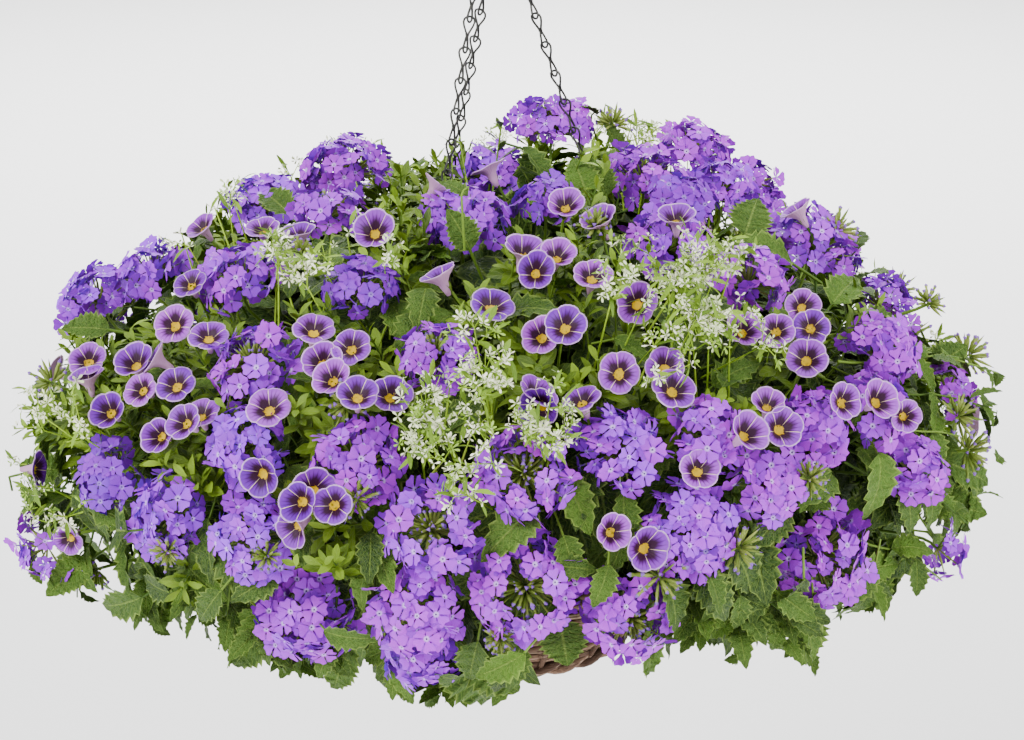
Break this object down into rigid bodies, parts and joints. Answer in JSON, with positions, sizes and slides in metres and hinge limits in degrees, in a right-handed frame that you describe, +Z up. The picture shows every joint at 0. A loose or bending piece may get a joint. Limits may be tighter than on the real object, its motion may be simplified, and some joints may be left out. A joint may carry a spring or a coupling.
{
  "type": "hanging basket",
  "caption": "Round woven hanging basket on a chain hanger, planted with a full mound of violet verbena, trumpet flowers and airy white sprays.",
  "frame": {"origin": "the point inside the top of the hook's crook that bears on the bracket", "axes": "+Z up, -Y towards the viewer of the picture, +X to the viewer's right"},
  "size_m": [0.7192, 0.7134, 0.6234],
  "materials": {
    "hanger_steel": "dull dark grey wire",
    "chain_steel": "dull dark grey wire",
    "vine": "dry brown vine",
    "coco_fibre": "matted brown fibre",
    "soil": "dark damp soil",
    "verbena_leaf": "matte dark green leaf",
    "calibrachoa_leaf": "soft green leaf with violet trumpets",
    "euphorbia_bract": "pale green stems with white bracts",
    "verbena_petal": "velvety violet-blue petal"
  },
  "bodies": {
    "root": {"calibrachoa_back": "calibrachoa_leaf", "calibrachoa_front": "calibrachoa_leaf", "calibrachoa_left": "calibrachoa_leaf", "chain_back": "chain_steel", "chain_left": "chain_steel", "chain_right": "chain_steel", "coco_liner": "coco_fibre", "euphorbia_back": "euphorbia_bract", "euphorbia_front": "euphorbia_bract", "euphorbia_left": "euphorbia_bract", "hanger_hook": "hanger_steel", "potting_soil": "soil", "verbena_head_back_low_left": "verbena_petal", "verbena_head_back_middle": "verbena_petal", "verbena_head_bottom_left": "verbena_petal", "verbena_head_bottom_middle": "verbena_petal", "verbena_head_bottom_middle_right": "verbena_petal", "verbena_head_centre_left": "verbena_petal", "verbena_head_centre_low": "verbena_petal", "verbena_head_centre_low_left": "verbena_petal", "verbena_head_centre_right": "verbena_petal", "verbena_head_crown_back": "verbena_petal", "verbena_head_left_far": "verbena_petal", "verbena_head_left_high": "verbena_petal", "verbena_head_left_middle": "verbena_petal", "verbena_head_low_right": "verbena_petal", "verbena_head_middle_left_high": "verbena_petal", "verbena_head_right_edge": "verbena_petal", "verbena_head_right_far": "verbena_petal", "verbena_head_right_low": "verbena_petal", "verbena_head_right_shoulder": "verbena_petal", "verbena_head_right_tip": "verbena_petal", "verbena_head_top_left": "verbena_petal", "verbena_head_top_middle": "verbena_petal", "verbena_head_top_middle_left": "verbena_petal", "verbena_head_top_middle_low": "verbena_petal", "verbena_head_top_right": "verbena_petal", "verbena_heads_back_high_left": "verbena_petal", "verbena_heads_back_high_right": "verbena_petal", "verbena_heads_back_left": "verbena_petal", "verbena_heads_back_low_right": "verbena_petal", "verbena_heads_back_right": "verbena_petal", "verbena_heads_bottom_middle_left": "verbena_petal", "verbena_heads_crown_left": "verbena_petal", "verbena_heads_crown_right": "verbena_petal", "verbena_heads_left_edge_low": "verbena_petal", "verbena_heads_left_low": "verbena_petal", "verbena_heads_left_shoulder": "verbena_petal", "verbena_heads_middle_right": "verbena_petal", "verbena_heads_right_high": "verbena_petal", "verbena_heads_right_middle": "verbena_petal", "verbena_heads_top_right_far": "verbena_petal", "verbena_leaves_back_low": "verbena_leaf", "verbena_leaves_back_top": "verbena_leaf", "verbena_leaves_front_low": "verbena_leaf", "verbena_leaves_front_top": "verbena_leaf", "verbena_leaves_left_low": "verbena_leaf", "verbena_leaves_left_top": "verbena_leaf", "woven_basket": "vine"}
  },
  "joints": []
}
